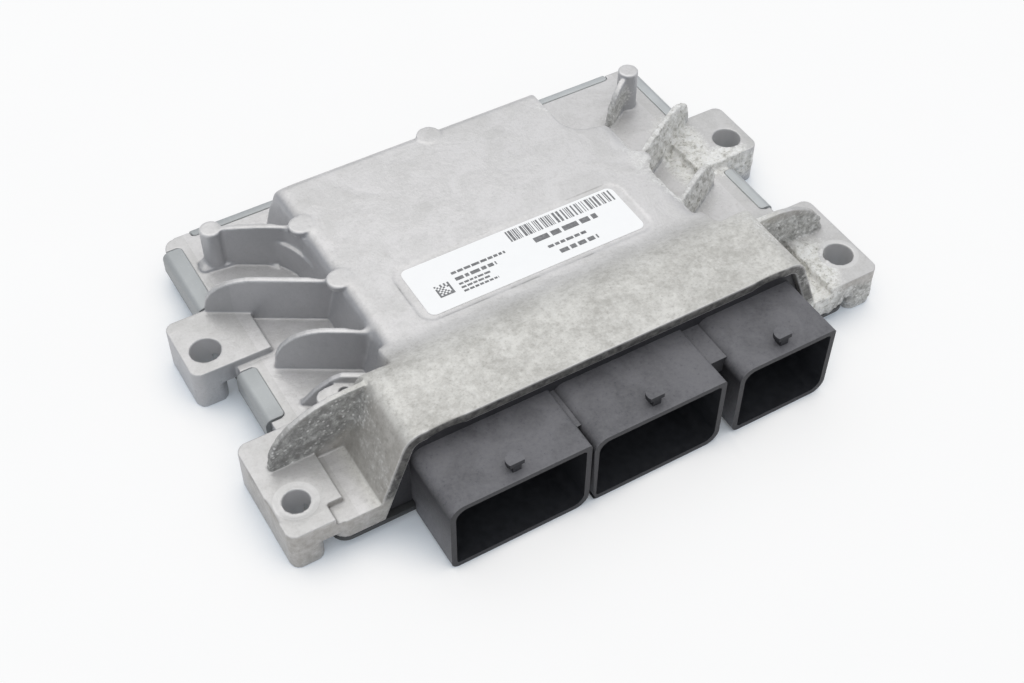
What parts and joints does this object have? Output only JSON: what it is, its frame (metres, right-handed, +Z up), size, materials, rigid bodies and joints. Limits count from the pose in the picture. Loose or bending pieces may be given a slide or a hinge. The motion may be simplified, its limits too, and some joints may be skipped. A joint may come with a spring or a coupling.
{
  "type": "engine control unit",
  "caption": "Engine control unit with a ribbed die-cast cover, crimped sheet base, four mounting lugs and a black header of three open plug pockets.",
  "frame": {"origin": "on the mounting plane under the lugs, below the middle of the unit's outline", "axes": "+X along the row of plug pockets towards the narrow one, +Y from the pocket mouths to the back edge, +Z up from the mounting plane"},
  "size_m": [0.1832, 0.1326, 0.0314],
  "materials": {
    "cast_aluminium": "as-cast, dull, pitted and corroded in places",
    "sheet_aluminium": "rolled sheet, dull blue grey",
    "black_plastic": "moulded, faded to dark grey on top",
    "seal_rubber": "matte",
    "sealant": "matte, cured",
    "label_film": "white, matte",
    "terminal_metal": "plated",
    "board_laminate": "green solder mask",
    "chip_epoxy": "moulded",
    "gap_pad": "soft pad",
    "can_metal": "drawn can",
    "ferrite": "matte",
    "chip_ceramic": "matte"
  },
  "bodies": {
    "root": {"cover": "cast_aluminium", "base_plate": "sheet_aluminium", "connector_header": "black_plastic", "header_seal": "seal_rubber", "flange_sealant": "sealant", "label": "label_film", "left_pins": "terminal_metal", "middle_pins": "terminal_metal", "right_pins": "terminal_metal", "circuit_board": "board_laminate", "thermal_pads": "gap_pad", "microcontroller": "chip_epoxy", "memory_chip": "chip_epoxy", "injector_driver": "chip_epoxy", "throttle_driver": "chip_epoxy", "ignition_transistors": "chip_epoxy", "voltage_regulator": "chip_epoxy", "bulk_capacitors": "can_metal", "power_inductor": "ferrite", "crystal": "can_metal", "bus_transceiver": "chip_epoxy", "chip_capacitors": "chip_ceramic", "chip_resistors": "ferrite"}
  },
  "joints": []
}
